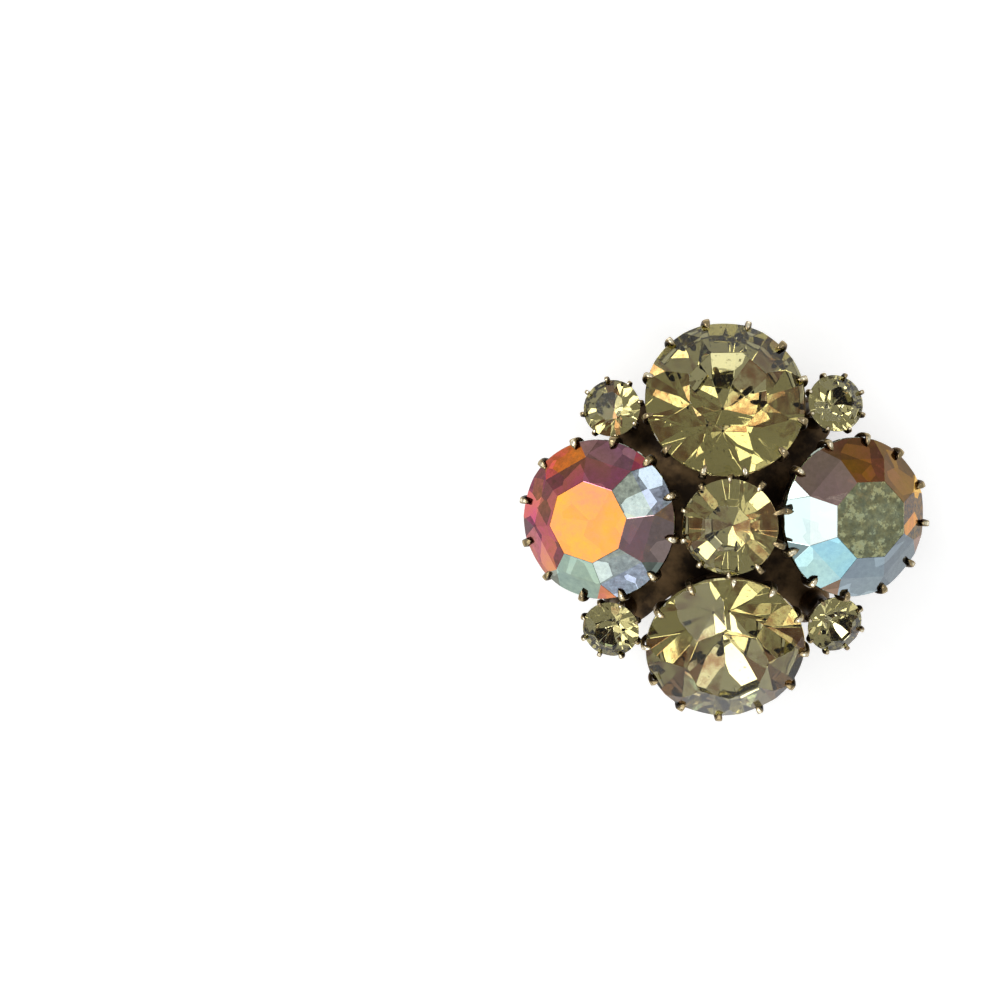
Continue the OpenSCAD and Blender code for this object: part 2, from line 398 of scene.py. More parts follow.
@dataclass
class Wiring:
    """Lays out shader nodes in one tree and links them."""

    tree: bpy.types.NodeTree

    def node(self, kind: str, **settings: object) -> Node:
        """Adds a node.

        Args:
            kind: The node's type name after ShaderNode.
            **settings: Properties to set on it.

        Returns:
            The new node.
        """
        made = self.tree.nodes.new("ShaderNode" + kind)
        for key, value in settings.items():
            setattr(made, key, value)
        return made

    def feed(self, socket: Socket, value: Value) -> None:
        """Links a socket to an output, or sets its own value.

        Args:
            socket: The input socket.
            value: An output socket, a number or a colour.
        """
        if isinstance(value, Socket):
            self.tree.links.new(value, socket)
        else:
            socket.default_value = value

    def fill(self, node: Node, values: dict[str, Value]) -> None:
        """Feeds several inputs of a node, by name."""
        for name, value in values.items():
            self.feed(node.inputs[name], value)

    def group(self, group: bpy.types.NodeTree, **values: Value) -> bpy.types.NodeOutputs:
        """Places a node group.

        Args:
            group: The node group.
            **values: A socket or value for each input, by name.

        Returns:
            The group's outputs, by name.
        """
        made = self.node("Group", node_tree=group)
        self.fill(made, values)
        return made.outputs

    def attribute(self, name: str) -> Socket:
        """Reads an attribute that the mesh carries."""
        return self.node("Attribute", attribute_name=name).outputs["Fac"]

    def maths(self, operation: str, *values: Value) -> Socket:
        """Adds a Math node.

        Args:
            operation: The node's operation.
            *values: Its inputs.

        Returns:
            The result's socket.
        """
        made = self.node("Math", operation=operation)
        for socket, value in zip(made.inputs, values):
            self.feed(socket, value)
        return made.outputs[0]

    def mix(self, share: Value, a: Value, b: Value) -> Socket:
        """Mixes two colours.

        Args:
            share: The second colour's share.
            a: The first colour.
            b: The second colour.

        Returns:
            The mixed colour's socket.
        """
        made = self.node("Mix", data_type="RGBA")
        self.feed(made.inputs["Factor"], share)
        self.feed(made.inputs[6], a)
        self.feed(made.inputs[7], b)
        return made.outputs[2]

    def ramp(self, value: Socket, low: float, high: float) -> Socket:
        """Carries a value from low to high smoothly on to nought to one.

        Args:
            value: The input.
            low: The value that becomes nought.
            high: The value that becomes one.

        Returns:
            The output socket.
        """
        made = self.node("MapRange", interpolation_type="SMOOTHSTEP")
        self.fill(made, {"Value": value, "From Min": low, "From Max": high})
        return made.outputs["Result"]

    def noise(self, vector: Socket, scale: float, detail: float = 3.0, roughness: float = 0.55) -> Socket:
        """Adds a noise texture in the given coordinates.

        Args:
            vector: The coordinates.
            scale: Cells per metre.
            detail: Octaves of finer noise.
            roughness: The finer octaves' share.

        Returns:
            The noise value's socket.
        """
        made = self.node("TexNoise")
        self.fill(made, {"Vector": vector, "Scale": scale, "Detail": detail, "Roughness": roughness})
        return made.outputs["Fac"]

    def bump(self, shader: Node, height: Socket, strength: float, distance: float) -> None:
        """Feeds a shader's normal from a height.

        Args:
            shader: The Principled node.
            height: The height's socket.
            strength: The bump's strength.
            distance: The bump's depth.
        """
        made = self.node("Bump")
        self.fill(made, {"Strength": strength, "Distance": distance * MM, "Height": height})
        self.feed(shader.inputs["Normal"], made.outputs["Normal"])


@dataclass
class EffectGroup:
    """A shader node group, with its inputs and outputs by name and type."""

    name: str
    inputs: dict[str, str]
    outputs: dict[str, str]

    def open(self) -> tuple[Wiring, dict[str, Socket], Node]:
        """Makes the group and its sockets.

        Returns:
            The group's wiring, the sockets that it is given, by name, and its output node.
        """
        group = bpy.data.node_groups.new(self.name, "ShaderNodeTree")
        for side, sockets in (("INPUT", self.inputs), ("OUTPUT", self.outputs)):
            for name, kind in sockets.items():
                group.interface.new_socket(name=name, in_out=side, socket_type="NodeSocket" + kind)
        given = {socket.name: socket for socket in group.nodes.new("NodeGroupInput").outputs}
        return Wiring(group), given, group.nodes.new("NodeGroupOutput")


@cache
def aged_metal_group() -> bpy.types.NodeTree:
    """Builds the ageing of plated brass: a dark skin in patches over the brown, bright where rubbed, and
    near-white where rubbed most, as a painted glint.

    Returns:
        The node group.
    """
    w, given, made = EffectGroup(
        "aged_metal",
        {"Vector": "Vector", "Rubbed": "Float"} | dict.fromkeys(("Dark", "Body", "Bright", "Painted_Glint"), "Color"),
        {"Color": "Color", "Roughness": "Float", "Height": "Float"},
    ).open()
    vector = given["Vector"]
    grain = w.noise(vector, 3200.0, 3.0, 0.6)
    pits = w.noise(vector, 9000.0, 2.0, 0.5)
    skin = w.ramp(w.noise(vector, 420.0, 4.0, 0.6), 0.38, 0.66)
    body = w.mix(skin, given["Dark"], given["Body"])
    worn = w.maths("ADD", given["Rubbed"], w.maths("MULTIPLY", w.maths("SUBTRACT", grain, 0.5), 0.5))
    # Where the rubbed value passes 0.92 the colour turns near-white: a painted glint.
    painted_glint_share = w.ramp(worn, 0.92, 1.15)
    worn = w.ramp(worn, 0.45, 0.85)
    colour = w.mix(painted_glint_share, w.mix(worn, body, given["Bright"]), given["Painted_Glint"])
    rough = w.maths("MULTIPLY_ADD", worn, -0.36, w.maths("MULTIPLY_ADD", grain, 0.2, 0.36))
    height = w.maths("MULTIPLY_ADD", pits, 0.5, grain)
    w.fill(made, {"Color": colour, "Roughness": rough, "Height": height})
    return w.tree


@cache
def glass_wear_group() -> bpy.types.NodeTree:
    """Builds the wear of old cut glass: a faint haze, fine scuffs and a slight unevenness of the smooth face.

    Returns:
        The node group.
    """
    w, given, made = EffectGroup(
        "glass_wear",
        {"Vector": "Vector", "Polish": "Float", "Haze": "Float"},
        {"Roughness": "Float", "Height": "Float"},
    ).open()
    vector = given["Vector"]
    haze = w.ramp(w.noise(vector, 520.0, 4.0, 0.62), 0.5, 0.78)
    scuffs = w.ramp(w.noise(vector, 5200.0, 2.0, 0.7), 0.62, 0.74)
    extra = w.maths("MULTIPLY", w.maths("MAXIMUM", haze, scuffs), given["Haze"])
    rough = w.maths("ADD", given["Polish"], extra)
    w.fill(made, {"Roughness": rough, "Height": w.noise(vector, 260.0, 2.0, 0.4)})
    return w.tree


@cache
def film_colour_group() -> bpy.types.NodeTree:
    """Builds the colour of a thin film: a cosine of the light's path in it over each colour's wavelength.

    For red, green and blue it is 0.5 less 0.48 of the cosine of a full turn times the path over 610,
    545 and 460 nm. Noise and angular cells lengthen or shorten the path, as an uneven coating and the
    facets behind it do. Some cells are painted brighter than the rest and the others darker, as painted
    flashes, and fine noise paints the brightness unevenly too; each facet's depth is its painted light
    and shade. Where grain is one, fine noise takes the cells' place and swings the path further.

    Returns:
        The node group.
    """
    w, given, made = EffectGroup(
        "film_colour",
        {"Vector": "Vector", "Grey": "Color"} | {mark.title(): "Float" for mark in FILM_MARKS},
        {"Color": "Color", "Roughness": "Float"},
    ).open()
    vector, flash, grain = given["Vector"], given["Flash"], given["Grain"]
    broad = w.maths("SUBTRACT", w.noise(vector, 330.0, 2.0, 0.5), 0.5)
    fine = w.maths("SUBTRACT", w.noise(vector, 2600.0, 4.0, 0.68), 0.5)
    lot = w.node("SeparateColor")
    cells = w.node("TexVoronoi")
    w.fill(cells, {"Vector": vector, "Scale": 620.0})
    mottles = w.noise(vector, 1500.0, 5.0, 0.72).node.outputs["Color"]
    w.feed(lot.inputs[0], w.mix(grain, cells.outputs["Color"], mottles))
    swing = w.maths("MULTIPLY", flash, w.maths("MULTIPLY_ADD", grain, 9.0, 1.0))
    stray = w.maths("MULTIPLY_ADD", w.maths("SUBTRACT", lot.outputs[0], 0.5), swing, broad)
    stray = w.maths("MULTIPLY_ADD", fine, 0.5, stray)
    path = w.maths("MULTIPLY_ADD", stray, 42.0, given["Path"])
    colour = w.node("CombineColor")
    for socket, wavelength in zip(colour.inputs, WAVELENGTHS):
        turn = w.maths("MULTIPLY", path, 2 * math.pi / wavelength)
        w.feed(socket, w.maths("MULTIPLY_ADD", w.maths("COSINE", turn), -0.48, 0.5))
    mixed = w.mix(given["Share"], given["Grey"], colour.outputs[0])
    mixed.node.clamp_factor, mixed.node.clamp_result = False, True
    # Painted flashes: lit cells and fine noise brighten or darken the colour by the facet's flash.
    lit = w.ramp(w.maths("MULTIPLY_ADD", grain, 0.1, lot.outputs[1]), 0.6, 0.72)
    glow = w.maths("MULTIPLY_ADD", lit, 2.4, -0.8)
    glow = w.maths("ADD", glow, w.maths("MULTIPLY", fine, 3.2))
    # The facet's depth is its painted light and shade; the painted flashes scale it.
    depth = w.maths("MULTIPLY", given["Depth"], w.maths("MULTIPLY_ADD", glow, flash, 1.0))
    rough = w.maths("MULTIPLY_ADD", w.maths("ABSOLUTE", fine), 0.1, 0.02)
    w.fill(made, {"Color": w.mix(depth, BLACK, mixed), "Roughness": rough})
    return w.tree


def new_material(name: str) -> tuple[Material, Wiring, Node, Socket]:
    """Starts a material with a Principled shader and object coordinates.

    Args:
        name: The material's name.

    Returns:
        The material, its wiring, the Principled node and the coordinates' socket.
    """
    material = bpy.data.materials.new(name)
    material.use_nodes = True
    w = Wiring(material.node_tree)
    shader = material.node_tree.nodes["Principled BSDF"]
    return material, w, shader, w.node("TexCoord").outputs["Object"]


@dataclass(frozen=True)
class MetalFinish:
    """Brass with an aged skin, rubbed bright where it stands proud, and near-white where rubbed most, as a
    painted glint.
    """

    name: str
    dark: Colour
    body: Colour
    bright: Colour
    # A near-white tone for the most rubbed spots: a painted glint.
    painted_glint: Colour = (0.97, 0.88, 0.66, 1.0)
    metal: float = 0.92
    bump: float = 0.25

    def material(self) -> Material:
        """Builds the material. The pieces' rubbed attribute says where it is bright, and where it is highest,
        a painted near-white glint.

        Returns:
            The material.
        """
        made, w, shader, vector = new_material(self.name)
        tones = {"Dark": self.dark, "Body": self.body, "Bright": self.bright, "Painted_Glint": self.painted_glint}
        aged = w.group(aged_metal_group(), Vector=vector, Rubbed=w.attribute("rubbed"), **tones)
        w.fill(shader, {"Base Color": aged["Color"], "Roughness": aged["Roughness"], "Metallic": self.metal})
        w.bump(shader, aged["Height"], self.bump, 0.04)
        return made


@dataclass(frozen=True)
class ClearGlass:
    """Clear tinted glass, for the crowns of the plain stones."""

    name: str
    tint: Colour
    deep: Colour
    density: float
    cloud: float = 0.93
    sheen: Colour = (0.45, 0.45, 0.4, 1.0)
    ior: float = 1.5

    def material(self) -> Material:
        """Builds the material: glass that darkens with depth, with faint haze and scuffs.

        Returns:
            The material.
        """
        made, w, shader, vector = new_material(self.name)
        wear = w.group(glass_wear_group(), Vector=vector, Polish=0.0, Haze=0.02)
        cloudy = (*(self.cloud * c for c in self.tint[:3]), 1.0)
        colour = w.mix(w.ramp(w.noise(vector, 300.0), 0.3, 0.75), self.tint, cloudy)
        w.fill(shader, {"Base Color": colour, "Roughness": wear["Roughness"]})
        w.fill(shader, {"Transmission Weight": 1.0, "IOR": self.ior, "Specular Tint": self.sheen})
        w.bump(shader, wear["Height"], 0.05, 0.04)
        depth = w.node("VolumeAbsorption")
        w.fill(depth, {"Color": self.deep, "Density": self.density})
        w.fill(w.tree.nodes["Material Output"], {"Volume": depth.outputs[0]})
        return made


@dataclass(frozen=True)
class CoatedGlass:
    """Glass under a thin rainbow film, for the crowns of the coated stones."""

    name: str
    grey: Colour
    mirror: float = 0.68
    ior: float = 1.56

    def material(self) -> Material:
        """Builds the material. The faces' film attributes give each facet's own colour, with its painted
        light, shade and flashes.

        Returns:
            The material.
        """
        made, w, shader, vector = new_material(self.name)
        marks = {mark.title(): w.attribute("film_" + mark) for mark in FILM_MARKS}
        film = w.group(film_colour_group(), Vector=vector, Grey=self.grey, **marks)
        wear = w.group(glass_wear_group(), Vector=vector, Polish=0.0, Haze=0.03)
        rough = w.maths("ADD", film["Roughness"], wear["Roughness"])
        w.fill(shader, {"Base Color": film["Color"], "Roughness": rough, "Metallic": self.mirror})
        w.fill(shader, {"Transmission Weight": 1.0, "IOR": self.ior})
        w.bump(shader, wear["Height"], 0.08, 0.05)
        return made


@dataclass(frozen=True)
class Foil:
    """The foiled back of a stone: a mirror seen through the glass, browned in places."""

    name: str
    fresh: Colour
    browned: Colour
    dull: Colour
    onset: float = 0.89
    spread: float = 0.1

    def material(self) -> Material:
        """Builds the material. The faces' foil attribute says how far each facet has browned.

        Returns:
            The material.
        """
        made, w, shader, vector = new_material(self.name)
        patch = w.maths("SUBTRACT", w.noise(vector, 700.0, 4.0, 0.6), 0.5)
        age = w.maths("ADD", w.attribute("foil_age"), w.maths("MULTIPLY", patch, 0.3))
        brown = w.ramp(age, self.onset, self.onset + self.spread)
        specks = w.ramp(w.noise(vector, 3600.0, 4.0, 0.6), 0.6, 0.72)
        colour = w.mix(specks, w.mix(brown, self.fresh, self.browned), self.dull)
        rough = w.maths("MULTIPLY_ADD", specks, 0.2, 0.015)
        w.fill(shader, {"Base Color": colour, "Roughness": rough, "Metallic": 1.0})
        return made


def dress(obj: bpy.types.Object, slot: Metal | Glass, *materials: Material) -> None:
    """Gives a piece its materials, and lets it ride with the earring.

    Args:
        obj: The piece.
        slot: The record's material slot. It is not used.
        *materials: The piece's materials, in the order of its material indices.
    """
    for material in materials:
        obj.data.materials.append(material)
    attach(obj, "root")


# Stones


@dataclass(frozen=True)
class CutSide:
    """One side of a cut stone, in shares of its radius: mains round a flat, a small facet on each ridge."""

    flat: float
    height: float
    tip: float
    arc_steps: int
    mains: int = 8
    girdle_steps: int = 96
    girdle: float = 0.018

    def slope(self) -> float:
        """Returns how steeply a main facet rises from the girdle."""
        return self.height / (1 - self.flat * math.cos(math.pi / self.mains))

    def points(self) -> np.ndarray:
        """Works out the side at radius one, facing up, as three rings of points.

        A main facet is the plane through the flat's edge that falls to the girdle. A small facet
        stands on each ridge, from a tip on the ridge to a short arc of the girdle. The girdle's
        points are where its cylinder meets these planes.

        Returns:
            The points: the flat's corners, the small facets' tips, and the girdle.
        """
        pitch = 2 * math.pi / self.mains
        arc = self.arc_steps * 2 * math.pi / self.girdle_steps

        def main_z(x: np.ndarray | float) -> np.ndarray | float:
            """Height of a main facet's plane at a distance x from the axis, across the facet."""
            return self.girdle + (1 - x) * self.slope()

        edge_z = main_z(math.cos(pitch / 2 - arc))
        tip_z = main_z(self.tip * math.cos(pitch / 2))
        corner_slope = (tip_z - edge_z) / (math.cos(arc) - self.tip)
        a, g = circle(self.mains), circle(self.girdle_steps)
        off = np.minimum(g % pitch, pitch - g % pitch)
        on_corner = edge_z - (np.cos(off) - math.cos(arc)) * corner_slope
        girdle_z = np.where(off < arc - TINY, on_corner, main_z(np.cos(pitch / 2 - off)))
        rings = (self.flat, a, self.girdle + self.height), (self.tip, a, tip_z), (1.0, g, girdle_z)
        return np.concatenate([polar(*ring) for ring in rings])

    def faces(self) -> list[list[int]]:
        """Lists the side's faces, counter-clockwise from outside. A flat main is listed in two parts.

        Returns:
            The flat, the mains' inner and outer parts and the small facets, as lists of point numbers.
        """
        m, n, arc = self.mains, self.girdle_steps, self.arc_steps
        span = n // m
        inner = [[(k + 1) % m, k, m + k, m + (k + 1) % m] for k in range(m)]
        outer, small = [], []
        for k in range(m):
            rim = [2 * m + (k * span + arc + i) % n for i in range(span - 2 * arc + 1)]
            outer.append([m + (k + 1) % m, m + k, *rim])
            small.append([m + k] + [2 * m + (k * span + i) % n for i in range(-arc, arc + 1)])
        return [list(range(m)), *inner, *outer, *small]


CROWN_CUT = CutSide(flat=0.51, height=0.40, tip=0.80, arc_steps=2)
BACK_CUT = CutSide(flat=0.008, height=0.79, tip=0.34, arc_steps=3)


@dataclass(frozen=True)
class FacetFilm:
    """The rainbow film on one facet.

    It holds the light's path in nanometres, the film's share of the colour, which deepens it where it is
    above one, how bright the facet is, which is painted light and shade, how much brighter the patches
    are, as painted flashes from the back, and the share of fine mottles among them.
    """

    path: float
    share: float
    # How bright the facet is: painted light and shade.
    depth: float
    # How strongly its patches flash: painted flashes, which also swing the path.
    flash: float = 0.2
    grain: float = 0.0


FILM_MARKS = [mark.name for mark in fields(FacetFilm)]
# The girdle band's film, whose depth of 0.6 paints it darker, as painted shade.
GIRDLE_FILM = FacetFilm(780, 0.5, 0.6)


def facets(*rows: tuple[float, ...]) -> tuple[FacetFilm, ...]:
    """Makes the film of one facet from each row, which holds its values in the order of the fields."""
    return tuple(FacetFilm(*row) for row in rows)


@dataclass(frozen=True)
class Film:
    """The rainbow film on a stone's facets. Mains and small facets start at the first table corner."""

    table: FacetFilm
    inner: tuple[FacetFilm, ...]
    outer: tuple[FacetFilm, ...]
    small: tuple[FacetFilm, ...]

    def rows(self) -> np.ndarray:
        """Returns a row of the film's values for each crown facet, in the order of the cut's faces."""
        return np.array([astuple(f) for f in (self.table, *self.inner, *self.outer, *self.small)])


@dataclass
class CutStone:
    """One foil-backed stone, with its crown and its foiled back dressed apart."""

    seat: Seat
    slot: Glass
    crown: Material
    foil: Material
    film: Film | None
    aged: float
    seed: int
    edge: float = 0.06
    sharp: float = 9.0

    def build(self) -> bpy.types.Object:
        """Builds the stone from its two sides and the girdle between them.

        Returns:
            The stone's object.
        """
        upper, lower = CROWN_CUT.points(), BACK_CUT.points() * np.array([1.0, 1.0, -1.0])
        points = self.seat.place(np.concatenate([upper, lower]) * self.seat.size.radius, self.seat.stone_turn)
        top = CROWN_CUT.faces()
        back = [[i + len(upper) for i in reversed(f)] for f in BACK_CUT.faces()]
        n, first = CROWN_CUT.girdle_steps, 2 * CROWN_CUT.mains
        band = [
            [first + (i + 1) % n, first + i, len(upper) + first + i, len(upper) + first + (i + 1) % n]
            for i in range(n)
        ]
        mesh = bpy.data.meshes.new(f"stone_{self.seat.name}")
        mesh.from_pydata((points * MM).tolist(), [], top + band + back)
        mesh.update()
        index = np.repeat([StoneFace.CROWN.value, StoneFace.BACK.value], [len(top) + len(band), len(back)])
        mesh.polygons.foreach_set("material_index", index.astype(np.int32))
        self.mark(mesh, len(top), len(band))
        obj = linked(f"stone_{self.seat.name}_cut", mesh)
        bevel = obj.modifiers.new("soft_edges", "BEVEL")
        bevel.width = self.edge * MM
        bevel.segments = 1
        bevel.limit_method = "ANGLE"
        bevel.angle_limit = math.radians(self.sharp)
        dress(obj, self.slot, self.crown, self.foil)
        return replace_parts(obj, f"stone_{self.seat.name}")

    def mark(self, mesh: bpy.types.Mesh, top: int, band: int) -> None:
        """Stores the foil's age on each face, and the film's values where the stone has one.

        Args:
            mesh: The stone's mesh.
            top: Faces on the crown.
            band: Faces round the girdle.
        """
        age = np.zeros(2 * top + band)
        rng = np.random.default_rng(self.seed)
        mains, small = rng.random(BACK_CUT.mains), rng.random(BACK_CUT.mains)
        age[top + band + 1 :] = np.concatenate([mains, mains, small]) + self.aged
        marks = {"foil_age": age}
        if self.film:
            film = np.tile(astuple(GIRDLE_FILM), (2 * top + band, 1))
            film[:top] = self.film.rows()
            marks |= {"film_" + name: film[:, i] for i, name in enumerate(FILM_MARKS)}
        for mark, values in marks.items():
            mesh.attributes.new(mark, "FLOAT", "FACE").data.foreach_set("value", values.astype(np.float32))


# Metal


@dataclass
class ClawCup:
    """One cup: a turned bowl under the stone, and claws that rise from it and close over the girdle.

    The claws differ a little, as bent by hand. Each strays by so many degrees at most, and its width as
    a share of the pitch, its reach as a share of the radius and how much more a spot near its tip is
    rubbed, with a painted near-white glint there, lie between two limits.
    """

    seat: Seat
    material: Material
    seed: int
    bulge: float
    rows: int = 26
    cols: int = 18
    bowl_rows: int = 36
    bowl_cols: int = 96
    squareness: float = 3.2
    tip: float = 0.1
    # Where a claw tip's spot is rubbed more and painted with a near-white glint: its place along the claw,
    # its length along it and its width across.
    polish_and_glint_at: float = 0.92
    polish_and_glint_length: float = 0.04
    polish_and_glint_width: float = 0.7
    over_glass: float = 0.02
    stray: float = 1.2
    widths: Limits = (0.17, 0.23)
    reaches: Limits = (0.07, 0.09)
    # Limits of how much more the tip's spot is rubbed, and so how strongly its glint is painted.
    polish_and_glint_limits: Limits = (0.05, 0.9)

    def bowl(self) -> Surface:
        """Turns the bowl's profile: out along the foot, up the wall, over its rim and down inside.

        Returns:
            The bowl in the stone's frame.
        """
        r, wall = self.seat.size.radius, self.seat.size.wall
        foot = -CUP_DEPTH * r
        outer = [(0.0, foot), (0.5 * r, foot), (FOOT * r, foot), (0.745 * r, -0.56 * r)]
        inner = [(0.745 * r - wall, -0.56 * r), (FOOT * r - 1.1 * wall, -0.8 * r), (0.0, -0.8 * r)]
        profile = rounded_path(outer + inner, self.bowl_rows)
        profile[[0, -1], 0] = NEAR_AXIS
        rubbed = 0.25 * np.clip((profile[:, 1] + 0.7 * r) / (0.2 * r), 0, 1)
        return turned_surface(profile, self.bowl_cols, rubbed)

    def claw(self, width: float, reach: float, bulge: float, polish_and_glint: float) -> Surface:
        """Carries a flat rounded section along a path up the wall and over the girdle.

        The section's half width and half thickness follow the path. They shrink to nothing over the
        last stretch as a quarter circle does, which rounds the tip. Each point is bent round the
        stone's axis by its distance across the claw over the path's radius.

        Args:
            width: The claw's width at the girdle, in millimetres.
            reach: How far the tip reaches inwards from the girdle, as a share of the radius.
            bulge: How far its shoulder stands off the girdle, in millimetres.
            polish_and_glint: How much more a spot near the tip is rubbed than the rest, which smooths it and
                paints a near-white glint there.

        Returns:
            The claw at angle nought in the stone's frame.
        """
        r, wall, mid = self.seat.size.radius, self.seat.size.wall, self.seat.size.claw_ring

        def over_crown(share: float) -> tuple[float, float]:
            """A point of the middle line on the crown, a share of the radius in from the girdle."""
            rise = CROWN_CUT.girdle + CROWN_CUT.slope() * share
            return r * (1 - share), rise * r + 0.5 * wall + self.over_glass

        path = rounded_path(
            [
                (0.665 * r, -0.68 * r),
                (0.80 * r, -0.40 * r),
                (0.885 * r + 0.1, -0.24 * r),
                (mid + bulge, -0.10 * r),
                (mid + bulge, 0.06 * r),
                (mid - 0.30 * wall + bulge, 0.06 * r + 0.6 * wall),
                over_crown(0.6 * reach),
                over_crown(reach),
            ],
            self.rows,
        )
        t = np.linspace(0, 1, self.rows)
        base = 0.86 * self.seat.size.pitch * path[0, 0] / mid
        widths = [base, 0.62 * base + 0.2 * width, width, 0.95 * width, 0.62 * width]
        half_w = 0.5 * np.interp(t, [0, 0.25, 0.55, 0.72, 1.0], widths)
        half_t = 0.5 * np.interp(t, [0, 0.6, 1.0], [0.9 * wall, wall, 0.82 * wall])
        end = np.clip((t - (1 - self.tip)) / self.tip, 0, 1)
        shrink = np.sqrt(np.maximum(1 - end**2, 1e-4))
        across, out = squared_round(self.cols, self.squareness)
        p, z = beside(path, (half_t * shrink**0.6)[:, None] * out)
        grid = polar(p, (half_w * shrink)[:, None] * across / path[:, :1], z)
        high = np.clip((t - 0.6) / 0.25, 0, 1)[:, None]
        rubbed = high * np.clip(0.3 + 0.5 * out, 0, 1) + 0.2 * (1 - high)
        # A spot near the tip on the outer face is rubbed more, by an amount that differs from claw to claw:
        # smoother metal and a painted near-white glint.
        polish_and_glint_mask = np.exp(-(((t[:, None] - self.polish_and_glint_at) / self.polish_and_glint_length) ** 2) - (across / self.polish_and_glint_width) ** 2)
        return grid_surface(grid, rubbed + polish_and_glint * polish_and_glint_mask * np.clip(out, 0, 1))

    def build(self) -> bpy.types.Object:
        """Builds the cup with its claws.

        Returns:
            The cup's object.
        """
        seat, size = self.seat, self.seat.size
        rng = np.random.default_rng(self.seed)
        # How much more each claw's tip spot is rubbed, which also sets its painted glint.
        polish_and_glint = np.random.default_rng(self.seed + POLISH_AND_GLINT_SEED).uniform(*self.polish_and_glint_limits, size.claws)
        parts = [self.bowl()]
        for i in range(size.claws):
            angle = i * 360 / size.claws + rng.uniform(-self.stray, self.stray)
            shown = max(0.0, math.cos(math.radians(seat.azimuth + seat.claw_turn + angle)))
            width, reach = size.pitch * rng.uniform(*self.widths), rng.uniform(*self.reaches)
            claw = self.claw(width, reach, self.bulge * shown, polish_and_glint[i])
            claw.points = turned(claw.points, angle)
            parts.append(claw)
        whole = Surface.joined(parts)
        whole.points = seat.place(whole.points, seat.claw_turn)
        obj = whole.to_object(f"cup_{seat.name}")
        dress(obj, Metal.SETTING, self.material)
        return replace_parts(obj, "setting")


@dataclass
class BackPlate:
    """The domed rosette behind the cups, its boss for the clip, and the stems of the raised cups."""

    material: Material
    hub_r: float = 5.5
    lobe_r: float = 3.5
    corner_r: float = 1.7
    corner_reach: float = 0.83
    wall: float = 0.8
    boss_r: float = 4.2
    boss_edge: float = 0.2
    boss_sunk: float = 1.5
    fillet: float = 0.22
    stem_sunk: float = 0.08
    steps: int = 360
    rows: int = 20
    edge_rows: int = 5
    rise_at_rim: float = 0.15
    bright_edge: float = 0.5
    boss_rows: int = 24
    boss_cols: int = 96
    stem_cols: int = 40

    def outline(self, angle: np.ndarray) -> np.ndarray:
        """The rosette's radius at each angle: the farthest of the hub, the lobes and the arms.

        A lobe of radius q at distance c is left at c cos a plus the root of q squared less
        c squared sin squared a, for an angle a from its middle. An arm is left where it ends.

        Args:
            angle: The angles in radians.

        Returns:
            The radius at each angle.
        """
        lobe_c = PLATE_R * math.sin(math.radians(LARGE_LEAN))
        corner_c = self.corner_reach * CORNER_RING
        radius = np.full_like(angle, self.hub_r)
        for k in range(8):
            a = (angle - k * math.pi / 4 + math.pi) % (2 * math.pi) - math.pi
            ahead, aside = np.cos(a), np.sin(a)
            c, q = (lobe_c, self.lobe_r) if k % 2 == 0 else (corner_c, self.corner_r)
            inside = q**2 - (c * aside) ** 2
            hit = np.where((inside > 0) & (ahead > 0), c * ahead + np.sqrt(np.maximum(inside, 0)), 0)
            radius = np.maximum(radius, hit)
            if k % 2:
                side, end = q / np.maximum(np.abs(aside), TINY), c / np.maximum(ahead, TINY)
                radius = np.maximum(radius, np.where(ahead > 0, np.minimum(side, end), 0))
        return radius

    def dome(self) -> Surface:
        """Builds the plate as a polar grid, over its front, round its edge and back behind.

        The height at radius p is the dome's middle plus the root of its radius squared less p
        squared, but not lower than the rim. The front and back meet in a half round at the outline.

        Returns:
            The plate.
        """
        a = circle(self.steps)
        edge = self.outline(a)
        share = np.linspace(0.002, 1, self.rows)[:, None]
        turn = np.linspace(0, math.pi, self.edge_rows + 2)[1:-1, None]
        half = self.wall / 2
        flat = edge - half
        p = np.concatenate([share * flat, flat + half * np.sin(turn), share[::-1] * flat])
        rise = np.concatenate([np.full_like(share, half), half * np.cos(turn), np.full_like(share, -half)])
        z = DOME_Z + np.sqrt((PLATE_R - half + rise) ** 2 - p**2)
        z = np.maximum(z, RIM_Z + (rise + half) * self.rise_at_rim)
        rim = np.exp(-(((edge - p) / self.bright_edge) ** 2))
        return grid_surface(polar(p, a, z), 0.1 + 0.35 * rim)

    def boss(self) -> Surface:
        """Turns the flat boss that the clip's leaf is fixed to, sunk into the plate.

        Returns:
            The boss.
        """
        r, edge, top = self.boss_r, self.boss_edge, DOME_Z + PLATE_R - self.boss_sunk
        under = [(NEAR_AXIS, PAD_Z), (r - edge, PAD_Z), (r, PAD_Z), (r, PAD_Z + edge)]
        profile = rounded_path(under + [(r, top), (NEAR_AXIS, top)], self.boss_rows, 2)
        return turned_surface(profile, self.boss_cols, 0.3)

    def stem(self, seat: Seat) -> Surface:
        """Turns the stem under a raised cup, with a fillet of solder at each end.

        The radius grows towards both ends as the fourth power of the distance from the middle.

        Args:
            seat: The cup's seat.

        Returns:
            The stem in the cluster's frame.
        """
        u = np.linspace(-1, 1, self.rows)
        p = seat.size.stem_r * (1 + self.fillet * u**4)
        z = self.stem_sunk - CUP_DEPTH * seat.size.radius - (u + 1) / 2 * seat.size.stem_length
        profile = np.concatenate([[[NEAR_AXIS, z[0]]], np.stack([p, z], -1), [[NEAR_AXIS, z[-1]]]])
        made = turned_surface(profile, self.stem_cols, 0.12)
        made.points = seat.place(made.points)
        return made

    def build(self) -> bpy.types.Object:
        """Builds the plate, the boss and the stems as one soldered piece.

        Returns:
            The back plate's object.
        """
        stems = [self.stem(seat) for seat in SEATS if seat.size.stem_r]
        obj = Surface.joined([self.dome(), self.boss(), *stems]).to_object("back_plate")
        dress(obj, Metal.SETTING, self.material)
        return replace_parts(obj, "setting")


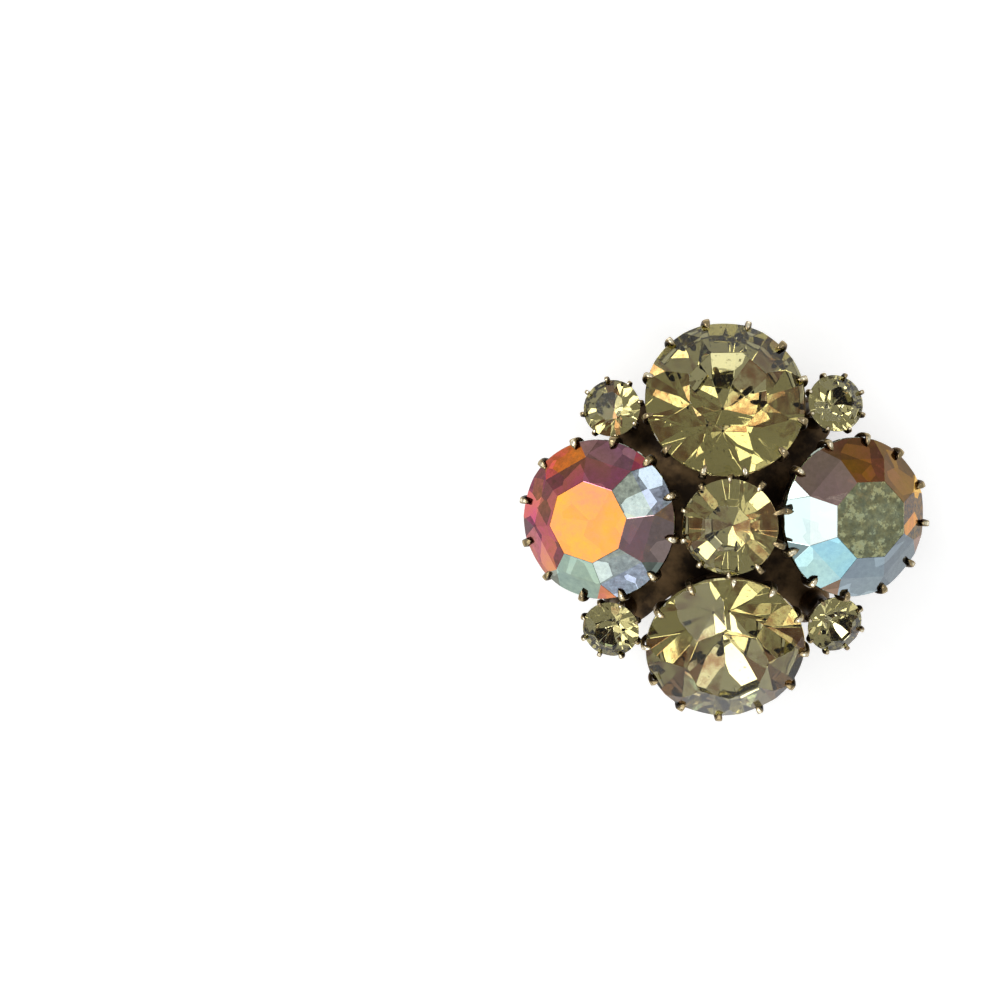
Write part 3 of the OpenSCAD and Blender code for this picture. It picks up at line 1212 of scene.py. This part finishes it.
@dataclass
class EarClip:
    """A strip bent into a U, with a round leaf under the boss and a broad paddle behind the ear lobe."""

    material: Material
    width: float = 5.0
    wall: float = 0.8
    leaf_r: float = 3.6
    paddle_r: float = 4.5
    paddle_y: float = 4.0
    bend_y: float = -4.5
    solder: float = 0.1
    least_w: float = 0.02
    leaf_rows: int = 44
    bend_rows: int = 32
    run_rows: int = 24
    round_rows: int = 26
    cols: int = 32
    squareness: float = 6.0

    def build(self) -> bpy.types.Object:
        """Carries a rounded flat section along the strip's middle line.

        The line runs from the leaf's free end back to the bend, round it as a half circle and along
        the surface to the paddle's end. The half width is the leaf's circle or the strip's own,
        then grows evenly to the paddle's circle.

        Returns:
            The clip's object.
        """
        half = self.wall / 2
        leaf_mid = PAD_Z - self.solder - half
        bend_r = (leaf_mid - half) / 2
        leaf_y = np.linspace(self.leaf_r - NEAR_AXIS, self.bend_y, self.leaf_rows)
        turn = np.linspace(math.pi / 2, 3 * math.pi / 2, self.bend_rows + 2)[1:-1]
        run_y = np.linspace(self.bend_y, self.paddle_y, self.run_rows)
        round_y = self.paddle_r * np.sin(np.linspace(0.05, math.pi / 2 - 0.01, self.round_rows))
        paddle_y = np.concatenate([run_y, self.paddle_y + round_y])
        y = np.concatenate([leaf_y, self.bend_y + bend_r * np.cos(turn), paddle_y])
        middle = half + bend_r + bend_r * np.sin(turn)
        z = np.concatenate([np.full_like(leaf_y, leaf_mid), middle, np.full_like(paddle_y, half)])
        strip = self.width / 2
        leaf_w = np.sqrt(np.maximum(self.leaf_r**2 - leaf_y**2, 0.0))
        leaf_w = np.where(leaf_y < 0, np.maximum(leaf_w, strip), leaf_w)
        run_w = np.interp(run_y, [self.bend_y, self.paddle_y], [strip, self.paddle_r])
        round_w = np.sqrt(self.paddle_r**2 - round_y**2)
        w = np.maximum(np.concatenate([leaf_w, np.full_like(turn, strip), run_w, round_w]), self.least_w)
        across, out = squared_round(self.cols, self.squareness)
        y, z = beside(np.stack([y, z], -1), -half * out)
        grid = np.stack([w[:, None] * across, y, z], -1)
        obj = grid_surface(grid, 0.35 + 0.4 * np.abs(across) ** 6).to_object("ear_clip_strip")
        dress(obj, Metal.CLIP, self.material)
        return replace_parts(obj, "ear_clip")


# Studio


@dataclass(frozen=True)
class SoftBox:
    """A square soft light that faces the earring. Its power follows from how bright its face looks."""

    name: str
    direction: Point
    distance: float
    size: float
    brightness: float
    colour: Point = (1.0, 1.0, 1.0)

    def build(self, target: Vector) -> None:
        """Places the light.

        Args:
            target: The point that it faces, in metres.
        """
        data = bpy.data.lights.new(self.name, "AREA")
        data.shape = "SQUARE"
        data.size = self.size
        data.energy = self.brightness * math.pi * self.size**2
        data.color = self.colour
        obj = linked(self.name, data)
        away = Vector(self.direction).normalized()
        obj.location = target + away * self.distance
        obj.rotation_mode = "QUATERNION"
        obj.rotation_quaternion = away.to_track_quat("Z", "Y")


@dataclass
class Studio:
    """The pale floor, the soft lights and the camera at the photograph's angle."""

    lights: tuple[SoftBox, ...]
    ambient: Colour = (0.95, 0.96, 0.96, 1.0)
    ambient_strength: float = 0.55
    floor_glow: float = 0.32
    camera_at: Point = (-15.4, 15.4, 172.0)
    looks_at: Point = (-15.3, 1.3, 12.0)
    lit_at: Point = (0.0, 0.0, 12.0)
    view_width: float = 67.57
    sensor: float = 36.0
    floor_half: float = 2500.0

    def floor(self) -> None:
        """Builds the pale floor with a faint unevenness of tone."""
        mesh = bpy.data.meshes.new("floor")
        s = self.floor_half * MM
        mesh.from_pydata([(-s, -s, 0), (s, -s, 0), (s, s, 0), (-s, s, 0)], [], [(0, 1, 2, 3)])
        made, w, shader, vector = new_material("pale_floor")
        tone = w.ramp(w.noise(vector, 60.0), 0.3, 0.7)
        colour = w.mix(tone, (0.95, 0.95, 0.95, 1), (0.97, 0.97, 0.97, 1))
        glow = {"Emission Color": WHITE, "Emission Strength": self.floor_glow}
        w.fill(shader, {"Base Color": colour, "Roughness": 0.7, **glow})
        mesh.materials.append(made)
        obj = linked("floor", mesh)

    def camera(self) -> None:
        """Places the camera above and to the left, with the earring right of the picture's middle.

        The lens is the sensor's width times the distance over the width of the view.
        """
        at, to = Vector(self.camera_at) * MM, Vector(self.looks_at) * MM
        data = bpy.data.cameras.new("camera")
        data.sensor_width = self.sensor
        data.lens = self.sensor * (at - to).length / (self.view_width * MM)
        data.clip_start, data.clip_end = 0.01, 10.0
        back = (at - to).normalized()
        right = Vector((0.0, 1.0, 0.0)).cross(back).normalized()
        up = back.cross(right)
        turn = Matrix((right, up, back)).transposed()
        obj = linked("camera", data)
        obj.matrix_world = Matrix.Translation(at) @ turn.to_4x4()
        bpy.context.scene.camera = obj

    def build(self) -> None:
        """Builds the floor, the camera, the lights and the even light round them."""
        self.floor()
        self.camera()
        for light in self.lights:
            light.build(Vector(self.lit_at) * MM)
        world = bpy.data.worlds.new("studio")
        world.use_nodes = True
        background = world.node_tree.nodes["Background"]
        Wiring(world.node_tree).fill(background, {"Color": self.ambient, "Strength": self.ambient_strength})
        scene = bpy.context.scene
        scene.world = world
        scene.view_settings.view_transform = "Standard"
        scene.cycles.max_bounces = 16
        scene.cycles.glossy_bounces = 12
        scene.cycles.transmission_bounces = 12
        scene.cycles.blur_glossy = 0.2


# The earring

# Seeds; the third one spreads the claw tips' rubbing and painted glint.
CUP_SEED, STONE_SEED, POLISH_AND_GLINT_SEED = 11, 31, 100
BRASS = MetalFinish(
    "tarnished_brass", (0.025, 0.016, 0.01, 1), (0.16, 0.1, 0.047, 1), (0.36, 0.275, 0.145, 1)
)
CLIP_BRASS = MetalFinish("clip_brass", (0.16, 0.1, 0.05, 1), (0.42, 0.29, 0.15, 1), (0.8, 0.62, 0.36, 1))
OLIVE = ClearGlass("olive_glass", (0.97, 0.96, 0.9, 1), (0.7, 0.66, 0.34, 1), 72.0)
RAINBOW = CoatedGlass("rainbow_glass", (0.9, 0.88, 0.8, 1))
OLIVE_FOIL = Foil("olive_foil", (0.65, 0.62, 0.44, 1), (0.36, 0.21, 0.13, 1), (0.26, 0.25, 0.16, 1))
RAINBOW_FOIL = Foil("rainbow_foil", (0.33, 0.3, 0.25, 1), (0.52, 0.2, 0.12, 1), (0.1, 0.1, 0.08, 1), 0.6)

# Each facet's path, share, depth, flash and grain; depth is painted light and shade, and flash sets painted
# flashes
LEFT_FILM = Film(
    FacetFilm(975, 1.12, 1.0, 0.1),
    facets(
        (994, 1.2, 0.42, 0.4), (770, 0.7, 0.62, 0.15), (742, 0.35, 0.42, 0.4, 0.35), (1014, 0.5, 0.54, 0.1),
        (765, 0.4, 0.42, 0.45, 0.35), (1003, 1.0, 0.76, 0.2), (996, 1.2, 0.26, 0.4), (994, 1.2, 0.34, 0.4),
    ),
    facets(
        (988, 1.05, 0.95, 0.35), (768, 0.65, 0.58, 0.2), (672, 0.4, 0.5, 0.45, 0.2), (1008, 0.35, 0.46, 0.2),
        (672, 0.38, 0.5, 0.6, 0.2), (1004, 0.8, 0.58, 0.3), (990, 1.3, 0.95, 0.4), (998, 1.2, 0.6, 0.5),
    ),
    facets(
        (994, 1.1, 0.26, 0.4), (800, 0.3, 0.3, 0.3), (978, 1.1, 1.0, 0.2), (770, 0.5, 0.4, 0.3),
        (975, 0.6, 0.5, 0.3), (996, 1.2, 0.9, 0.3), (1006, 0.8, 0.4, 0.3), (1004, 1.2, 0.34, 0.4),
    ),
)
RIGHT_FILM = Film(
    FacetFilm(845, 0.55, 0.66, 0.42, 1.0),
    facets(
        (958, 1.1, 0.24, 0.25), (976, 1.15, 0.46, 0.25), (992, 0.5, 0.58, 0.12), (738, 0.3, 0.96, 0.05),
        (736, 0.9, 0.68, 0.12), (702, 0.45, 0.5, 0.15), (694, 0.45, 0.32, 0.2), (957, 1.2, 0.34, 0.9),
    ),
    facets(
        (952, 1.15, 0.2, 0.35), (978, 1.1, 0.34, 0.3), (985, 0.5, 0.48, 0.2), (744, 0.45, 0.92, 0.08),
        (742, 0.75, 0.7, 0.15), (705, 0.4, 0.56, 0.15), (700, 0.4, 0.4, 0.25), (950, 1.2, 0.4, 0.8),
    ),
    facets(
        (938, 1.2, 1.0, 0.1), (950, 1.1, 0.26, 0.3), (975, 1.0, 0.36, 0.3), (745, 0.4, 0.7, 0.2),
        (738, 0.6, 0.8, 0.2), (975, 0.6, 0.9, 0.2), (695, 0.45, 0.36, 0.3), (975, 1.1, 0.4, 0.4),
    ),
)
FILMS = {"left": LEFT_FILM, "right": RIGHT_FILM}
AGED = {"top": -0.02, "bottom": 0.03, "centre": 0.01, "bottom_right": 0.04}

# Name, direction, distance, size, brightness and colour
LIGHTS = (
    SoftBox("key", (-0.64, -0.06, 0.76), 0.42, 0.15, 1.65, (1.0, 0.99, 0.98)),
    SoftBox("low_window", (-0.37, -0.1, 0.93), 0.45, 0.085, 1.3),
    SoftBox("window", (-0.49, 0.42, 0.77), 0.45, 0.19, 4.2, (1.0, 1.0, 0.98)),
    SoftBox("side_window", (-0.47, -0.39, 0.79), 0.45, 0.1, 4.0),
    SoftBox("front_panel", (0.0, -0.86, 0.5), 0.45, 0.3, 1.4, (0.97, 0.99, 1.0)),
    SoftBox("back_panel", (0.47, 0.53, 0.71), 0.45, 0.14, 1.2),
    SoftBox("right_window", (0.41, -0.01, 0.91), 0.45, 0.085, 4.5),
    SoftBox("top_window", (-0.12, 0.1, 0.99), 0.5, 0.05, 5.0),
)


def main() -> None:
    """Builds the earring's pieces in order, then the studio."""
    logging.basicConfig(level=logging.INFO, format="%(message)s")
    brass, clip_brass = BRASS.material(), CLIP_BRASS.material()
    crowns = {Glass.OLIVE: OLIVE.material(), Glass.RAINBOW: RAINBOW.material()}
    foils = {Glass.OLIVE: OLIVE_FOIL.material(), Glass.RAINBOW: RAINBOW_FOIL.material()}
    built = [BackPlate(brass).build(), EarClip(clip_brass).build()]
    for number, seat in enumerate(SEATS):
        film = FILMS.get(seat.name)
        glass = Glass.RAINBOW if film else Glass.OLIVE
        bulge = CENTRE_BULGE if seat.name == "centre" else 0.0
        built.append(ClawCup(seat, brass, CUP_SEED + number, bulge).build())
        aged = AGED.get(seat.name, 0.0)
        crown, foil = crowns[glass], foils[glass]
        built.append(CutStone(seat, glass, crown, foil, film, aged, STONE_SEED + number).build())
    for piece in built:
        LOG.info("%s: %d faces", piece.name, len(piece.data.polygons))
    Studio(LIGHTS).build()


if __name__ == "__main__":
    main()
